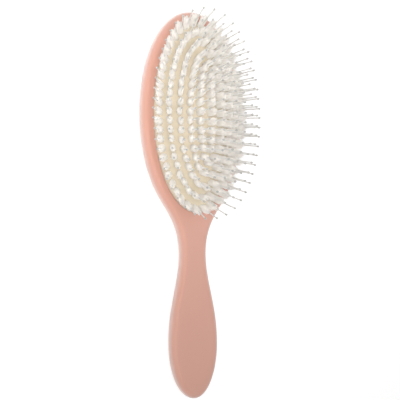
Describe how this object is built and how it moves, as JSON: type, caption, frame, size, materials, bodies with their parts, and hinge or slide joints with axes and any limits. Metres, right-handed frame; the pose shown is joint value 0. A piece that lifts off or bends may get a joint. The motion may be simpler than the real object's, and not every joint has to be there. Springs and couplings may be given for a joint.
{
  "type": "detangling brush",
  "caption": "Oval cushion hairbrush with a one-piece paddle and handle, a domed rubber pad, and rings of bristle tufts that each hold a longer ball-tipped pin.",
  "frame": {"origin": "on the flat back of the body, under the middle of the oval head", "axes": "+Y along the brush from the handle to the head, +Z out of the bristle face, +X across"},
  "size_m": [0.0778, 0.2334, 0.0431],
  "materials": {
    "soft_touch_body": "matte soft-touch paint",
    "cushion_rubber": "matte moulded rubber",
    "bristle_nylon": "satin filaments",
    "pin_nylon": "clear gloss",
    "button_nylon": "as moulded"
  },
  "bodies": {
    "handle": {"handle_body": "soft_touch_body", "cushion_pad": "cushion_rubber"},
    "crown_row": {"tufts_crown_row": "bristle_nylon", "pins_crown_row": "pin_nylon", "buttons_crown_row": "button_nylon"},
    "ring_5": {"tufts_ring_5": "bristle_nylon", "pins_ring_5": "pin_nylon", "buttons_ring_5": "button_nylon"},
    "ring_4": {"tufts_ring_4": "bristle_nylon", "pins_ring_4": "pin_nylon", "buttons_ring_4": "button_nylon"},
    "ring_3": {"tufts_ring_3": "bristle_nylon", "pins_ring_3": "pin_nylon", "buttons_ring_3": "button_nylon"},
    "ring_2": {"tufts_ring_2": "bristle_nylon", "pins_ring_2": "pin_nylon", "buttons_ring_2": "button_nylon"},
    "ring_1": {"tufts_ring_1": "bristle_nylon", "pins_ring_1": "pin_nylon", "buttons_ring_1": "button_nylon"}
  },
  "joints": [
    {"name": "crown_row_press", "type": "slide", "parent": "handle", "child": "crown_row", "axis": [0, 0, -1], "range_m": [0, 0.005], "stiffness_N_per_m": 400, "springref_m": -0.003, "deforming": ["cushion_pad"]},
    {"name": "ring_5_press", "type": "slide", "parent": "handle", "child": "ring_5", "axis": [0, 0, -1], "range_m": [0, 0.00456], "deforming": ["cushion_pad"]},
    {"name": "ring_4_press", "type": "slide", "parent": "handle", "child": "ring_4", "axis": [0, 0, -1], "range_m": [0, 0.004], "deforming": ["cushion_pad"]},
    {"name": "ring_3_press", "type": "slide", "parent": "handle", "child": "ring_3", "axis": [0, 0, -1], "range_m": [0, 0.0032], "deforming": ["cushion_pad"]},
    {"name": "ring_2_press", "type": "slide", "parent": "handle", "child": "ring_2", "axis": [0, 0, -1], "range_m": [0, 0.00217], "deforming": ["cushion_pad"]},
    {"name": "ring_1_press", "type": "slide", "parent": "handle", "child": "ring_1", "axis": [0, 0, -1], "range_m": [0, 0.00089], "deforming": ["cushion_pad"]}
  ],
  "couplings": [
    {"joint": "ring_5_press", "follows": "crown_row_press", "ratio": 0.912},
    {"joint": "ring_4_press", "follows": "crown_row_press", "ratio": 0.799},
    {"joint": "ring_3_press", "follows": "crown_row_press", "ratio": 0.64},
    {"joint": "ring_2_press", "follows": "crown_row_press", "ratio": 0.434},
    {"joint": "ring_1_press", "follows": "crown_row_press", "ratio": 0.178}
  ]
}
